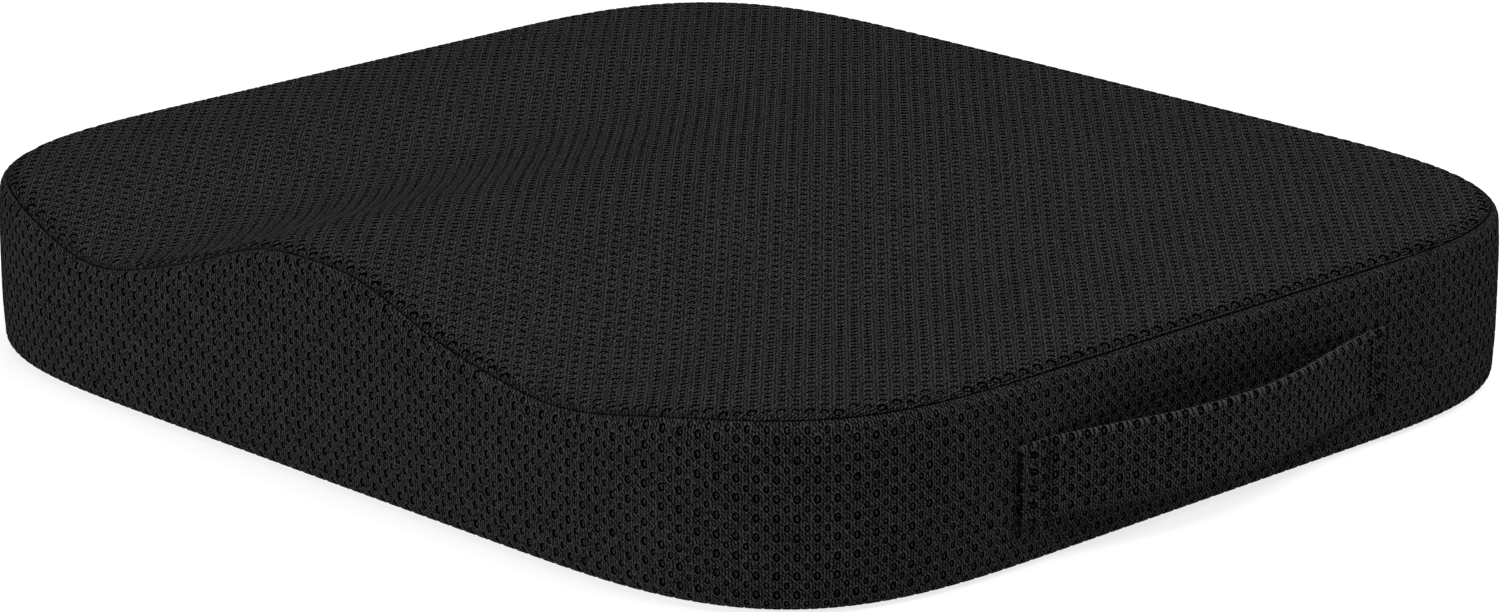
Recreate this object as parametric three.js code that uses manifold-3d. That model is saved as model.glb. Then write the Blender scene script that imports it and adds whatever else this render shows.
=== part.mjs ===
// Contoured seat cushion: a moulded foam core in a zipped cover of spacer mesh, with a carry handle.
// Millimetres, +Z up. The origin is the middle of the flat base. The sitter faces -Y, where a central
// ridge parts two thigh grooves. The handle is on the +X side and the zip runs along the rear, +Y.
import * as THREE from "three";
import { mergeVertices } from "three/addons/utils/BufferGeometryUtils.js";
import Module from "manifold-3d";

const wasm = await Module();
wasm.setup();

// Plan outline: a rectangle with long soft corners.
const WIDTH = 450;
const DEPTH = 400;
const CORNER_REACH = 135; // how far along each side a corner's curve begins
const CORNER_POWER = 3.55; // 2 would be a circular corner, higher is squarer
const END_BOW = 1.3; // the front and rear faces swell by this much in their middle
const CORNER_STEPS = 14;
const END_STEPS = 10;
const SIDE_STEPS = 8;

// Section of the cover.
const FABRIC = 3; // spacer mesh thickness
const GAP = 0.3; // clearance between pieces that touch
const SEAM_HEIGHT = 63.4; // top seam above the base, along the sides and rear
const SEAM_INSET = 2.1; // the seam line lies inside the outline
const TOP_RISE = 2.9; // the top panel rolls up this much beside its seam
const ROLL_LENGTH = 3.4; // how quickly it does
const EDGE_ROUND = 5.9; // the wall curls under by this much at the base
const BASE_THICKNESS = 2.2;
const WALL_CROWN = 0.3; // the wall swells by this much half way up
const WALL_SHOULDER = [[SEAM_INSET, 0], [0.6, 2], [0, 5]]; // inset, and how far below the seam
const WALL_CURL = [[0, 1], [0.8, 0.5], [2.6, 0.18]]; // inset, and height as a share of EDGE_ROUND
const CURL_INSIDE = 4.4; // inset of the curl's inner face
const PANEL_LIP = 5; // the top panel's roll has a ring of points here
const PANEL_LIP_INSIDE = 6;
const BASE_BEVEL = 0.8; // the base cloth's lower edge is cut back by this much
const TOP_THREAD_INSET = 4.4;
const TOP_THREAD_DROP = 4.2; // below the seam
const BOTTOM_THREAD_INSET = EDGE_ROUND + 0.7;
const BOTTOM_THREAD_RISE = 0.9; // above the base cloth

// Contour of the seat.
const RIDGE_HEIGHT = 14;
const RIDGE_HALF_WIDTH = 50;
const RIDGE_WIDENING = 0.3; // the ridge spreads as it fades towards the rear
const GROOVE_OFFSET = 119; // each groove's middle, from the centre line
const GROOVE_HALF_WIDTH = 44;
const GROOVE_DEPTH_LEFT = 14;
const GROOVE_DEPTH_RIGHT = 8.7;
const CONTOUR_END = 140; // the contour has faded out at this Y
const TOP_SCALES = [0.87, 0.72, 0.55, 0.37, 0.18]; // rings of the top between its edge and its middle

// Foam core, inside the cover.
const CORE_INSET = 6.3;
const CORE_REAR = 193.2; // stays clear of the zip
const CORE_CLEARANCE = 1.2; // between the core and the top panel over it
const CORE_SHOULDER = [[0.9, 5], [0, 8.5]]; // side profile: further inside, and how far below the seam
const CORE_FOOT = [[0, 6], [0.7, 2.4], [2.7, GAP]]; // further inside, and how far above the base cloth

// Rear opening and zip, straight along X.
const OPENING_HALF_LENGTH = 156;
const ZIP_HEIGHT = 30;
const SLOT_HALF_HEIGHT = 5.5;
const TAPE_HALF_LENGTH = 142;
const TAPE_WIDTH = 13.5;
const TAPE_THICKNESS = 0.6;
const TAPE_BACK = 195; // the tapes' inner face
const HALVES_GAP = 1.3; // between the two coils, where the slider's post runs
const COIL_WIDTH = 2.3;
const COIL_HEIGHT = 1.6;
const COIL_HALF_LENGTH = 138;
const STOP_LENGTH = 3;

// Slider and pull tab.
const SLIDER_REST_X = -131;
const SLIDER_LENGTH = 11;
const PLATE_THICKNESS = 1.2;
const FLANGE_THICKNESS = 1.2;
const FLANGE_SHORTER = 2; // at each end
const INNER_PLATE = 1;
const POST_HALF_LENGTH = 1.6;
const SLIDER_CORNER = 1.8;
const BRIDGE_LENGTH = 6;
const BRIDGE_WIDTH = 2.2;
const BRIDGE_WALL = 1.1;
const BRIDGE_OPENING = 2.6;
const TAB_LENGTH = 19;
const TAB_WIDTH = 6.4;
const TAB_THICKNESS = 1.3;
const TAB_BAR = 0.7; // half the width of the bar that turns under the bridge

// Carry handle on the +X side.
const HANDLE_FRONT = -97.5;
const HANDLE_REAR = 84.5;
const HANDLE_BOTTOM = 15.5;
const HANDLE_TOP = 43.3;
const HANDLE_THICKNESS = 2.6;
const HANDLE_BOW = 14;
const HANDLE_BOW_POWER = 1.35;
const HANDLE_STEPS = 20;
const STITCH_FRONT = -85;
const STITCH_REAR = 75.5;
const BARTACK_FRONT = -92.5;
const BARTACK_REAR = 82.5;
const STITCH_MARGIN = 1.5;
const STITCH_THICKNESS = 0.5;

const THREAD_RADIUS = 0.45;
const THREAD_SIDES = 6;

const MATERIALS = {
  mesh: { color: 0x17181a, roughness: 0.9, metalness: 0 },
  base: { color: 0x141416, roughness: 0.85, metalness: 0 },
  foam: { color: 0xe6e2d4, roughness: 1, metalness: 0 },
  thread: { color: 0x0f1011, roughness: 0.7, metalness: 0 },
  tape: { color: 0x151618, roughness: 0.8, metalness: 0 },
  coil: { color: 0x1a1b1d, roughness: 0.45, metalness: 0 },
  metal: { color: 0x2b2c2e, roughness: 0.4, metalness: 0.9 },
};

// ---- Shared geometry -------------------------------------------------------------------------------

const part = new THREE.Group();

function addPiece(name, geometry, finish) {
  const mesh = new THREE.Mesh(geometry, new THREE.MeshStandardMaterial(MATERIALS[finish]));
  mesh.name = name;
  part.add(mesh);
  return mesh;
}

// The plan outline moved inwards, counterclockwise seen from above, with the same number of points always.
function outline(inset) {
  const halfWidth = WIDTH / 2 - inset;
  const halfDepth = DEPTH / 2 - inset;
  const reach = CORNER_REACH - inset;
  const corners = [[1, -1], [1, 1], [-1, 1], [-1, -1]];
  const points = [];
  corners.forEach(([sideX, sideY], index) => {
    for (let step = 0; step <= CORNER_STEPS; step++) {
      const angle = (index - 1 + step / CORNER_STEPS) * (Math.PI / 2);
      const x = Math.cos(angle);
      const y = Math.sin(angle);
      const stretch = (Math.abs(x) ** CORNER_POWER + Math.abs(y) ** CORNER_POWER) ** (-1 / CORNER_POWER);
      points.push(
        new THREE.Vector2(
          sideX * (halfWidth - reach) + reach * x * stretch,
          sideY * (halfDepth - reach) + reach * y * stretch,
        ),
      );
    }
    const [nextX, nextY] = corners[(index + 1) % corners.length];
    const steps = sideX === nextX ? SIDE_STEPS : END_STEPS;
    const start = points.at(-1).clone();
    const end = new THREE.Vector2(
      sideX === nextX ? sideX * halfWidth : nextX * (halfWidth - reach),
      sideX === nextX ? nextY * (halfDepth - reach) : sideY * halfDepth,
    );
    for (let step = 1; step < steps; step++) points.push(start.clone().lerp(end, step / steps));
  });
  for (const point of points) point.y *= 1 + (END_BOW / halfDepth) * (1 - (point.x / halfWidth) ** 2);
  return points;
}

// One ring of points at an inset, shrunk towards the middle by scale, at a height that may vary in plan.
function ring(inset, height, scale = 1) {
  return outline(inset).map(({ x, y }) => {
    const z = typeof height === "function" ? height(x * scale, y * scale) : height;
    return new THREE.Vector3(x * scale, y * scale, z);
  });
}

// A surface through rings of equal length. A ring of one point closes an end, and a looped body joins its
// last ring to its first. Rings run from the top outwards and down.
function loft(rings, looped = false) {
  const starts = [];
  const positions = [];
  const triangles = [];
  for (const points of rings) {
    starts.push(positions.length / 3);
    for (const { x, y, z } of points) positions.push(x, y, z);
  }
  const pairs = looped ? rings.length : rings.length - 1;
  for (let i = 0; i < pairs; i++) {
    const next = (i + 1) % rings.length;
    const upper = (k) => starts[i] + (k % rings[i].length);
    const lower = (k) => starts[next] + (k % rings[next].length);
    const count = Math.max(rings[i].length, rings[next].length);
    for (let k = 0; k < count; k++) {
      if (rings[next].length > 1) triangles.push(upper(k), lower(k), lower(k + 1));
      if (rings[i].length > 1) triangles.push(upper(k), lower(k + 1), upper(k + 1));
    }
  }
  const geometry = new THREE.BufferGeometry();
  geometry.setAttribute("position", new THREE.Float32BufferAttribute(positions, 3));
  geometry.setIndex(triangles);
  return geometry;
}

// A closed tube that follows the outline, given by its centre's inset and height.
function threadLoop(inset, height) {
  const rings = [];
  for (let side = 0; side < THREAD_SIDES; side++) {
    const angle = (side / THREAD_SIDES) * 2 * Math.PI;
    const rise = THREAD_RADIUS * Math.cos(angle);
    rings.push(ring(inset - THREAD_RADIUS * Math.sin(angle), (x, y) => height(x, y) + rise));
  }
  return loft(rings, true);
}

function box(x0, x1, y0, y1, z0, z1) {
  const geometry = new THREE.BoxGeometry(x1 - x0, y1 - y0, z1 - z0);
  return geometry.translate((x0 + x1) / 2, (y0 + y1) / 2, (z0 + z1) / 2);
}

function solid(geometry) {
  const bare = geometry.clone();
  bare.deleteAttribute("normal");
  bare.deleteAttribute("uv");
  const merged = mergeVertices(bare);
  return new wasm.Manifold(
    new wasm.Mesh({
      numProp: 3,
      vertProperties: merged.attributes.position.array,
      triVerts: new Uint32Array(merged.index.array),
    }),
  );
}

function geometryOf(body) {
  const mesh = body.getMesh();
  const geometry = new THREE.BufferGeometry();
  geometry.setAttribute("position", new THREE.BufferAttribute(mesh.vertProperties, 3));
  geometry.setIndex(new THREE.BufferAttribute(mesh.triVerts, 1));
  return geometry;
}

function joined(...geometries) {
  return geometries.map(solid).reduce((whole, next) => whole.add(next));
}

// A rounded rectangle from x0 to x1, centred on y = 0.
function roundedBar(x0, x1, width, radius) {
  const half = width / 2;
  const shape = new THREE.Shape();
  shape.moveTo(x0 + radius, -half);
  shape.lineTo(x1 - radius, -half);
  shape.absarc(x1 - radius, -half + radius, radius, -Math.PI / 2, 0);
  shape.absarc(x1 - radius, half - radius, radius, 0, Math.PI / 2);
  shape.absarc(x0 + radius, half - radius, radius, Math.PI / 2, Math.PI);
  shape.absarc(x0 + radius, -half + radius, radius, Math.PI, 1.5 * Math.PI);
  return shape;
}

// A flat plate parallel to the rear face: its shape's x is X and its y is Z, from y0 to y1 along Y.
function rearPlate(shape, y0, y1) {
  const geometry = new THREE.ExtrudeGeometry(shape, {
    depth: y1 - y0,
    bevelEnabled: false,
    curveSegments: 4,
  });
  return geometry.rotateX(Math.PI / 2).translate(0, y1, 0);
}

// ---- Seat contour ----------------------------------------------------------------------------------

// Height of the seat above its plain level: the ridge and the grooves, fading towards the rear.
function contour(x, y) {
  const ahead = THREE.MathUtils.clamp((CONTOUR_END - y) / (CONTOUR_END + DEPTH / 2), 0, 1);
  const strength = ahead * (1 + 0.4 * (1 - ahead));
  const ridgeHalf = RIDGE_HALF_WIDTH * (1 + RIDGE_WIDENING * (1 - ahead));
  const ridge = RIDGE_HEIGHT * Math.exp(-((Math.abs(x) / ridgeHalf) ** 2.9));
  const depth = x < 0 ? GROOVE_DEPTH_LEFT : GROOVE_DEPTH_RIGHT;
  const groove = depth * Math.exp(-(((Math.abs(x) - GROOVE_OFFSET) / GROOVE_HALF_WIDTH) ** 2));
  return strength * (ridge - groove);
}

function seamHeight(x, y) {
  return SEAM_HEIGHT + contour(x, y);
}

// The outer face of the top panel at a distance inside the outline, less a depth below that face.
function topFace(inset, depth = 0) {
  const roll = TOP_RISE * (1 - Math.exp(-(inset - SEAM_INSET) / ROLL_LENGTH));
  return (x, y) => seamHeight(x, y) + roll - depth;
}

function belowSeam(drop) {
  return (x, y) => seamHeight(x, y) - drop;
}

const PANEL_EDGE = 11.4; // inside this inset the top panel is past its roll

// Rings of the seat's middle, from its centre out to the edge, at a depth below the outer face.
function seatRings(depth) {
  const face = topFace(PANEL_EDGE, depth);
  const rings = [[new THREE.Vector3(0, 0, face(0, 0))]];
  for (const scale of TOP_SCALES.toReversed()) rings.push(ring(PANEL_EDGE, face, scale));
  rings.push(ring(PANEL_EDGE, face));
  return rings;
}

// ---- Foam and fabric -------------------------------------------------------------------------------

function foamCore() {
  const rings = [
    ...seatRings(FABRIC + CORE_CLEARANCE),
    ...CORE_SHOULDER.map(([inset, drop]) => ring(CORE_INSET + inset, belowSeam(drop))),
    ...CORE_FOOT.map(([inset, rise]) => ring(CORE_INSET + inset, BASE_THICKNESS + rise)),
    [new THREE.Vector3(0, 0, BASE_THICKNESS + GAP)],
  ];
  const rear = DEPTH / 2 + END_BOW - CORE_INSET;
  for (const points of rings) {
    for (const point of points) if (point.y > 0) point.y *= CORE_REAR / rear;
  }
  return loft(rings);
}

function topPanel() {
  return loft([
    ...seatRings(0),
    ring(PANEL_LIP, topFace(PANEL_LIP)),
    ring(SEAM_INSET + GAP, topFace(SEAM_INSET)),
    ring(SEAM_INSET + GAP + 1, belowSeam(FABRIC - 0.1)),
    ring(PANEL_LIP_INSIDE, topFace(PANEL_LIP_INSIDE, FABRIC)),
    ...seatRings(FABRIC).toReversed(),
  ]);
}

// The whole wall, all the way round, before it is parted at the rear.
function wallLoop() {
  const halfWay = (x, y) => seamHeight(x, y) / 2;
  const rings = [
    ...WALL_SHOULDER.map(([inset, drop]) => ring(inset, belowSeam(drop))),
    ring(-WALL_CROWN, halfWay),
    ...WALL_CURL.map(([inset, share]) => ring(inset, EDGE_ROUND * share)),
    ring(EDGE_ROUND, GAP),
    ring(EDGE_ROUND, BASE_THICKNESS + 0.2),
    ring(CURL_INSIDE, EDGE_ROUND * 0.6),
    ring(FABRIC, EDGE_ROUND + 2),
    ring(FABRIC - WALL_CROWN, halfWay),
    ring(FABRIC, belowSeam(3.6)),
  ];
  return solid(loft(rings, true));
}

function bottomPanel() {
  const inset = EDGE_ROUND + GAP;
  return loft([
    [new THREE.Vector3(0, 0, BASE_THICKNESS)],
    ring(inset, BASE_THICKNESS),
    ring(inset, BASE_BEVEL),
    ring(inset + BASE_BEVEL, 0),
    [new THREE.Vector3(0, 0, 0)],
  ]);
}

function addCover() {
  const wall = wallLoop();
  const far = DEPTH;
  const tall = 2 * SEAM_HEIGHT;
  const end = OPENING_HALF_LENGTH;
  const rearCut = solid(box(-end - GAP, end + GAP, 0, far, -1, tall));
  const upper = solid(box(-end, end, 0, far, ZIP_HEIGHT + SLOT_HALF_HEIGHT, tall));
  const lower = solid(box(-end, end, 0, far, -1, ZIP_HEIGHT - SLOT_HALF_HEIGHT));
  addPiece("foam_core", foamCore(), "foam");
  addPiece("top_panel", topPanel(), "mesh");
  addPiece("side_band", geometryOf(wall.subtract(rearCut)), "mesh");
  addPiece("rear_band_upper", geometryOf(wall.intersect(upper)), "mesh");
  addPiece("rear_band_lower", geometryOf(wall.intersect(lower)), "mesh");
  addPiece("bottom_panel", bottomPanel(), "base");
  addPiece("top_seam_thread", threadLoop(TOP_THREAD_INSET, belowSeam(TOP_THREAD_DROP)), "thread");
  const bottomThread = threadLoop(BOTTOM_THREAD_INSET, () => BASE_THICKNESS + BOTTOM_THREAD_RISE);
  addPiece("bottom_seam_thread", bottomThread, "thread");
}

// ---- Handle ----------------------------------------------------------------------------------------

// How far the strap stands off the wall: sewn flat at both ends, bowed outwards between its stitches.
function handleBow(y) {
  const middle = (STITCH_FRONT + STITCH_REAR) / 2;
  const half = (STITCH_REAR - STITCH_FRONT) / 2;
  const across = Math.abs(y - middle) / half;
  if (across >= 1) return 0;
  return HANDLE_BOW * Math.cos((across * Math.PI) / 2) ** HANDLE_BOW_POWER;
}

function handleStrap() {
  const inner = WIDTH / 2 + 0.3 + GAP;
  const stations = [HANDLE_FRONT];
  for (let step = 0; step <= HANDLE_STEPS; step++) {
    stations.push(STITCH_FRONT + ((STITCH_REAR - STITCH_FRONT) * step) / HANDLE_STEPS);
  }
  stations.push(HANDLE_REAR);
  const innerLine = stations.map((y) => new THREE.Vector2(inner + handleBow(y), y));
  const outerLine = innerLine.map(({ x, y }) => new THREE.Vector2(x + HANDLE_THICKNESS, y));
  const plan = new THREE.Shape([...outerLine, ...innerLine.toReversed()]);
  const depth = HANDLE_TOP - HANDLE_BOTTOM;
  const geometry = new THREE.ExtrudeGeometry(plan, { depth, bevelEnabled: false });
  return geometry.translate(0, 0, HANDLE_BOTTOM);
}

function addHandle() {
  addPiece("handle_strap", handleStrap(), "mesh");
  const face = WIDTH / 2 + 0.3 + HANDLE_THICKNESS + 2 * GAP;
  const rows = [
    ["handle_front_bartack", BARTACK_FRONT, 2.2],
    ["handle_front_stitch", STITCH_FRONT - 1.2, 0.9],
    ["handle_rear_stitch", STITCH_REAR + 1.2, 0.9],
    ["handle_rear_bartack", BARTACK_REAR, 2.2],
  ];
  for (const [name, y, width] of rows) {
    const stitch = box(
      face, face + STITCH_THICKNESS,
      y - width / 2, y + width / 2,
      HANDLE_BOTTOM + STITCH_MARGIN, HANDLE_TOP - STITCH_MARGIN,
    );
    addPiece(name, stitch, "thread");
  }
}

// ---- Zip -------------------------------------------------------------------------------------------

const TAPE_FRONT = TAPE_BACK + TAPE_THICKNESS;
const COIL_BACK = TAPE_FRONT + GAP;
const COIL_FRONT = COIL_BACK + COIL_HEIGHT;
const PLATE_BACK = COIL_FRONT + GAP;
const PLATE_FRONT = PLATE_BACK + PLATE_THICKNESS;
const BRIDGE_FRONT = PLATE_FRONT + BRIDGE_OPENING + BRIDGE_WALL;
const PIVOT_Y = PLATE_FRONT + BRIDGE_OPENING / 2;

// One half of the zip: side is 1 for the upper half and -1 for the lower.
function addZipHalf(name, side) {
  const edge = ZIP_HEIGHT + (side * HALVES_GAP) / 2;
  const span = (width) => [Math.min(edge, edge + side * width), Math.max(edge, edge + side * width)];
  const tape = box(-TAPE_HALF_LENGTH, TAPE_HALF_LENGTH, TAPE_BACK, TAPE_FRONT, ...span(TAPE_WIDTH));
  const coil = box(-COIL_HALF_LENGTH, COIL_HALF_LENGTH, COIL_BACK, COIL_FRONT, ...span(COIL_WIDTH));
  addPiece("zip_tape_" + name, tape, "tape");
  addPiece("zip_coil_" + name, coil, "coil");
}

// A clamp over both tapes that stops the slider at one end.
function zipStop(side) {
  const near = side * (COIL_HALF_LENGTH + GAP);
  const far = near + side * STOP_LENGTH;
  const half = HALVES_GAP / 2 + COIL_WIDTH;
  const clamp = roundedBar(Math.min(near, far), Math.max(near, far), 2 * half, 0.8);
  return rearPlate(clamp, COIL_BACK, COIL_FRONT).translate(0, 0, ZIP_HEIGHT);
}

// A fabric patch behind the slot that closes the wall past the end of the zip.
function zipEndTab(side) {
  const top = ZIP_HEIGHT + TAPE_WIDTH;
  const bottom = ZIP_HEIGHT - TAPE_WIDTH;
  const [front, back] = [1, 2]; // insets of the patch's two faces
  const rings = [ring(front, top), ring(front, bottom), ring(back, bottom), ring(back, top)];
  const curve = solid(loft(rings, true));
  const near = side * (TAPE_HALF_LENGTH + GAP);
  const far = side * (OPENING_HALF_LENGTH - GAP);
  const half = SLOT_HALF_HEIGHT - GAP;
  const x0 = Math.min(near, far);
  const x1 = Math.max(near, far);
  const patch = solid(box(x0, x1, 0, DEPTH, ZIP_HEIGHT - half, ZIP_HEIGHT + half));
  return geometryOf(curve.intersect(patch));
}

// Two plates joined by a post between the coils, flanges that hold the coils in, and a bridge for the tab.
function zipSlider() {
  const halfChannel = HALVES_GAP / 2 + COIL_WIDTH + GAP;
  const width = 2 * (halfChannel + FLANGE_THICKNESS);
  const end = SLIDER_LENGTH / 2;
  const flangeEnd = end - FLANGE_SHORTER;
  const innerBack = TAPE_BACK - GAP - INNER_PLATE;
  const postHalf = HALVES_GAP / 2 - GAP;
  const bridge = BRIDGE_LENGTH / 2;
  const half = BRIDGE_WIDTH / 2;
  const overlap = 0.2; // the joined solids share this much
  const postBack = innerBack + overlap;
  const postFront = PLATE_FRONT - overlap;
  return geometryOf(
    joined(
      rearPlate(roundedBar(-end, end, width, SLIDER_CORNER), PLATE_BACK, PLATE_FRONT),
      rearPlate(roundedBar(-end, end, width, SLIDER_CORNER), innerBack, innerBack + INNER_PLATE),
      box(-POST_HALF_LENGTH, POST_HALF_LENGTH, postBack, postFront, -postHalf, postHalf),
      box(-flangeEnd, flangeEnd, COIL_BACK, postFront, halfChannel, width / 2),
      box(-flangeEnd, flangeEnd, COIL_BACK, postFront, -width / 2, -halfChannel),
      box(-bridge, -bridge + BRIDGE_WALL, postFront, BRIDGE_FRONT, -half, half),
      box(bridge - BRIDGE_WALL, bridge, postFront, BRIDGE_FRONT, -half, half),
      box(-bridge, bridge, BRIDGE_FRONT - BRIDGE_WALL, BRIDGE_FRONT, -half, half),
    ),
  );
}

// A flat tab with a window for the bridge; the bar beside the window turns under the bridge.
function pullTab() {
  const shape = roundedBar(-TAB_BAR, TAB_LENGTH, TAB_WIDTH, 0.6);
  const window = new THREE.Path();
  const windowHalf = BRIDGE_WIDTH / 2 + 0.4;
  const windowEnd = BRIDGE_LENGTH / 2 + 1.4;
  window.moveTo(TAB_BAR, -windowHalf);
  window.lineTo(windowEnd, -windowHalf);
  window.lineTo(windowEnd, windowHalf);
  window.lineTo(TAB_BAR, windowHalf);
  window.closePath();
  shape.holes.push(window);
  return rearPlate(shape, -TAB_THICKNESS / 2, TAB_THICKNESS / 2);
}

function addZip() {
  addZipHalf("upper", 1);
  addZipHalf("lower", -1);
  addPiece("zip_stop_left", zipStop(-1), "metal");
  addPiece("zip_stop_right", zipStop(1), "metal");
  addPiece("zip_end_tab_left", zipEndTab(-1), "tape");
  addPiece("zip_end_tab_right", zipEndTab(1), "tape");
  addPiece("zip_slider", zipSlider(), "metal").position.set(SLIDER_REST_X, 0, ZIP_HEIGHT);
  addPiece("zip_pull_tab", pullTab(), "metal").position.set(SLIDER_REST_X, PIVOT_Y, ZIP_HEIGHT);
}

addCover();
addHandle();
addZip();

export default part;
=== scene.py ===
import math

import bpy
import numpy as np
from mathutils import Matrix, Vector
from mathutils.kdtree import KDTree


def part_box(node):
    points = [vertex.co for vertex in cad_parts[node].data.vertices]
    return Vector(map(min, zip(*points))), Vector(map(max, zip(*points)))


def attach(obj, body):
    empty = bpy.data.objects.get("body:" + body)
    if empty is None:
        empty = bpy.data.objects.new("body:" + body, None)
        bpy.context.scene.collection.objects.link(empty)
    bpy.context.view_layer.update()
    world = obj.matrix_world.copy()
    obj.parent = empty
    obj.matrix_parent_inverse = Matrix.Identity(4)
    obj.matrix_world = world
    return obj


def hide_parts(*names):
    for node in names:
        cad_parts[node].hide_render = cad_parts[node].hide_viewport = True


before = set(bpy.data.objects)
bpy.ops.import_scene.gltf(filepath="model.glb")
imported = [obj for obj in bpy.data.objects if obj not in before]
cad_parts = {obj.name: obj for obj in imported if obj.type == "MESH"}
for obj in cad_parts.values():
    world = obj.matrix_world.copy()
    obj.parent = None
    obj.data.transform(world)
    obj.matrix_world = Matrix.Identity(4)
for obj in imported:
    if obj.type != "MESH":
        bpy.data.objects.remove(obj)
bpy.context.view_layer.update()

# A contoured foam seat cushion in a zipped cover of black spacer mesh, in metres.

MM = 0.001

# ---- Driving dimensions ------------------------------------------------------------------------------

HALF_WIDTH = 225 * MM
HALF_DEPTH = 200 * MM
CORNER_REACH = 135 * MM
CORNER_POWER = 3.55
END_BOW = 1.3 * MM

SEAM_HEIGHT = 63.4 * MM
SEAM_INSET = 2.1 * MM
TOP_RISE = 2.9 * MM
ROLL_LENGTH = 3.4 * MM
EDGE_ROUND = 5.9 * MM
WALL_LEAN = 5 * MM  # below the top seam the wall leans in over this height
WALL_CROWN = 0.3 * MM
FOOT_HEIGHT = 0.3 * MM  # the bottom seam's height above what the cushion rests on
FOOT_ARC = 9.0 * MM  # length of cloth round the wall's lower edge

RIDGE_HEIGHT = 14 * MM
RIDGE_HALF_WIDTH = 50 * MM
RIDGE_WIDENING = 0.3
RIDGE_POWER = 2.9  # above 2 the ridge has a flatter top and steeper flanks
GROOVE_OFFSET = 119 * MM
GROOVE_HALF_WIDTH = 44 * MM
GROOVE_DEPTH_LEFT = 14 * MM
GROOVE_DEPTH_RIGHT = 8.7 * MM
CONTOUR_END = 140 * MM
CONTOUR_BOW = 0.4  # the contour's fade towards the rear starts slowly by this much

REAR_CUT = 156.15 * MM  # the side band ends here on the rear wall, on each side of the middle
ZIP_HEIGHT = 30 * MM
SLOT_HALF_HEIGHT = 5.5 * MM

# The knitted openings: pitch along and across, and the two sizes in alternate rows.
BAND_PITCH = (6.3 * MM, 6.36 * MM)
TOP_PITCH = (6.3 * MM, 6.4 * MM)
STRAP_PITCH = (6.2 * MM, 5.65 * MM)
LARGE_HOLE = (1.35 * MM, 1.68 * MM)
SMALL_HOLE = (1.1 * MM, 1.36 * MM)
# Each opening: its depth, and the width of its floor and of the knit in its middle as shares of its own.
WALL_HOLE = (0.9 * MM, 0.95, 0.54)
SEAT_HOLE = (0.6 * MM, 0.95, 0.68)
PLUG_DROP = 0.06 * MM  # the inner knit shows this far down in the middle of each opening
PLUG_CROWN = 0.6  # its very middle lies at this share of that depth
RIM_RISE = 0.22 * MM  # the knit stands proud round each opening
SHUT_SPREAD = (1.6, 1.4)  # where the cloth folds its openings are pulled shut, and their rings spread
FIRST_HOLE = (21.3 * MM, 6.76 * MM)
WALL_SWELL = 0.5 * MM
LIP_DEPTH = 2.2 * MM
SEAM_GAP = 0.25 * MM  # half the width of the crease along the top seam
EDGE_OVERLAP = 3.4 * MM
HOLE_MARGIN = 0.3 * MM
EDGE_MARGIN = 0.25 * MM

STRAP_FRONT = -97.5 * MM
STRAP_REAR = 84.5 * MM
STRAP_BOTTOM = 15.5 * MM
STRAP_TOP = 43.3 * MM
STRAP_THICKNESS = 2.6 * MM
STRAP_BOW = 14 * MM
STRAP_BOW_POWER = 1.35
STITCH_FRONT = -85 * MM
STITCH_REAR = 75.5 * MM
BARTACK_FRONT = -92.5 * MM
BARTACK_REAR = 82.5 * MM

# ---- Working in mesh code ----------------------------------------------------------------------------


def deselect():
    bpy.ops.object.select_all(action="DESELECT")


def take(piece):
    """Leaves the piece alone in the selection, and active."""
    deselect()
    piece.select_set(True)
    bpy.context.view_layer.objects.active = piece


def named(name):
    """The primitive just added, alone in the selection and under its own name."""
    piece = bpy.context.object
    take(piece)
    piece.name = name
    piece.data.name = name
    return piece


def read(group, key, width=1, kind=float):
    """One property of every point, edge, face or corner, as an array."""
    values = np.zeros(len(group) * width, dtype=kind)
    group.foreach_get(key, values)
    return values if width == 1 else values.reshape(-1, width)


def points_of(piece):
    return read(piece.data.vertices, "co", 3)


def move_points(piece, points):
    piece.data.vertices.foreach_set("co", np.asarray(points, dtype=float).ravel())
    piece.data.update()


def edge_ends(piece):
    return read(piece.data.edges, "vertices", 2, int)


def faces_of(piece):
    """Each face's count of corners, and the first of its places in the list of corners."""
    faces = piece.data.polygons
    return read(faces, "loop_total", kind=int), read(faces, "loop_start", kind=int)


def corner_points(piece):
    return read(piece.data.loops, "vertex_index", kind=int)


def face_centres(piece):
    return read(piece.data.polygons, "center", 3)


def border_edges(piece):
    """Which edges have a face on one side only."""
    of_corner = read(piece.data.loops, "edge_index", kind=int)
    return np.bincount(of_corner, minlength=len(piece.data.edges)) == 1


MODES = {"VERT": (True, False, False), "EDGE": (False, True, False), "FACE": (False, False, True)}


def pick(piece, kind, chosen=None):
    """Selects only the chosen points, edges or faces, or all of them, and leaves the piece in edit mode."""
    bpy.context.view_layer.objects.active = piece
    bpy.context.tool_settings.mesh_select_mode = MODES[kind]
    mesh = piece.data
    mesh.vertices.foreach_set("select", np.zeros(len(mesh.vertices), dtype=bool))
    mesh.edges.foreach_set("select", np.zeros(len(mesh.edges), dtype=bool))
    mesh.polygons.foreach_set("select", np.zeros(len(mesh.polygons), dtype=bool))
    group = {"VERT": mesh.vertices, "EDGE": mesh.edges, "FACE": mesh.polygons}[kind]
    if chosen is None:
        chosen = np.ones(len(group), dtype=bool)
    group.foreach_set("select", np.asarray(chosen, dtype=bool))
    bpy.ops.object.mode_set(mode="EDIT")


def leave():
    bpy.ops.object.mode_set(mode="OBJECT")


def delete_faces(piece, chosen):
    pick(piece, "FACE", chosen)
    bpy.ops.mesh.delete(type="FACE")
    leave()


def selected_points(piece):
    return read(piece.data.vertices, "select", kind=bool)


def selected_faces(piece):
    return read(piece.data.polygons, "select", kind=bool)


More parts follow.
